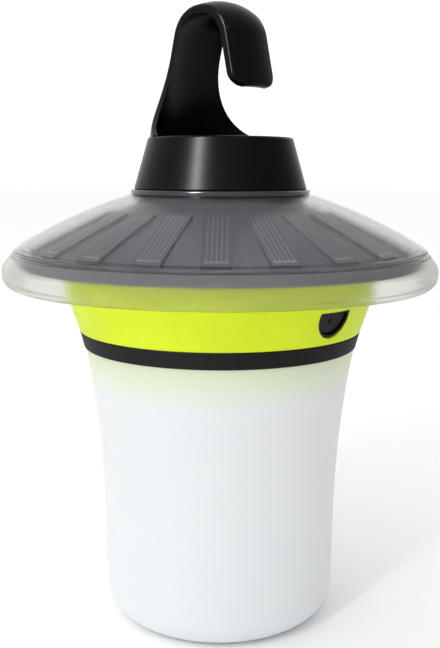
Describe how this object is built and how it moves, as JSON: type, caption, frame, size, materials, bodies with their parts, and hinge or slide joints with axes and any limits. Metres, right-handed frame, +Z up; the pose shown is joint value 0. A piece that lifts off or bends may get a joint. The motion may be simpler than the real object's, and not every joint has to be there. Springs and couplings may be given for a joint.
{
  "type": "camping lantern",
  "caption": "Solar camping lantern: hook moulded on a conical cap, clear dome over radial solar panels, lime ring with push button, frosted cup diffuser.",
  "frame": {"origin": "centre of the diffuser's flat resting face", "axes": "+Z up along the lantern axis, -Y towards the button and the hook tip, +X to the right of the button side"},
  "size_m": [0.15, 0.15, 0.214],
  "materials": {
    "hook_plastic": "fine satin",
    "collar_plastic": "glossy",
    "clear_cover": "clear, slightly smoked",
    "tray_plastic": "smooth",
    "solar_cell": "dark panel with silver grid",
    "lime_plastic": "smooth satin",
    "band_rubber": "matte",
    "frosted_diffuser": "frosted",
    "button_plastic": "satin",
    "button_rubber": "satin",
    "silicone": "matte",
    "switch_plastic": "matte",
    "circuit_board": "solder mask",
    "inner_plastic": "moulded",
    "battery_wrap": "shrink wrap",
    "contact_metal": "nickel plated",
    "screw_steel": "zinc plated",
    "reflector_white": "white",
    "led_phosphor": "phosphor",
    "lens_clear": "clear"
  },
  "bodies": {
    "lantern": {"battery_cell": "battery_wrap", "battery_contacts": "contact_metal", "battery_cradle": "inner_plastic", "board_components": "switch_plastic", "board_screws": "screw_steel", "body_ring": "lime_plastic", "body_screws": "screw_steel", "button_bezel": "button_plastic", "cap_screws": "screw_steel", "diffuser": "frosted_diffuser", "diffuser_gasket": "silicone", "hook_cap": "hook_plastic", "led_board": "circuit_board", "led_chips": "led_phosphor", "led_lens": "lens_clear", "main_board": "circuit_board", "neck_collar": "collar_plastic", "reflector": "reflector_white", "return_pad": "silicone", "shade_cover": "clear_cover", "shade_floor": "tray_plastic", "solar_cell_01": "solar_cell", "solar_cell_02": "solar_cell", "solar_cell_03": "solar_cell", "solar_cell_04": "solar_cell", "solar_cell_05": "solar_cell", "solar_cell_06": "solar_cell", "solar_cell_07": "solar_cell", "solar_cell_08": "solar_cell", "solar_cell_09": "solar_cell", "solar_cell_10": "solar_cell", "solar_cell_11": "solar_cell", "solar_cell_12": "solar_cell", "solar_cell_13": "solar_cell", "solar_cell_14": "solar_cell", "solar_cell_15": "solar_cell", "solar_cell_16": "solar_cell", "solar_cell_17": "solar_cell", "solar_cell_18": "solar_cell", "solar_cell_19": "solar_cell", "solar_cell_20": "solar_cell", "solar_tray": "tray_plastic", "switch_board": "circuit_board", "switch_bracket": "inner_plastic", "tact_switch": "switch_plastic", "trim_band": "band_rubber"},
    "button": {"power_button": "button_rubber"}
  },
  "joints": [
    {"name": "power_press", "type": "slide", "parent": "lantern", "child": "button", "axis": [0, 0.9506, 0.3104], "range_m": [0, 0.001], "stiffness_N_per_m": 1500}
  ]
}
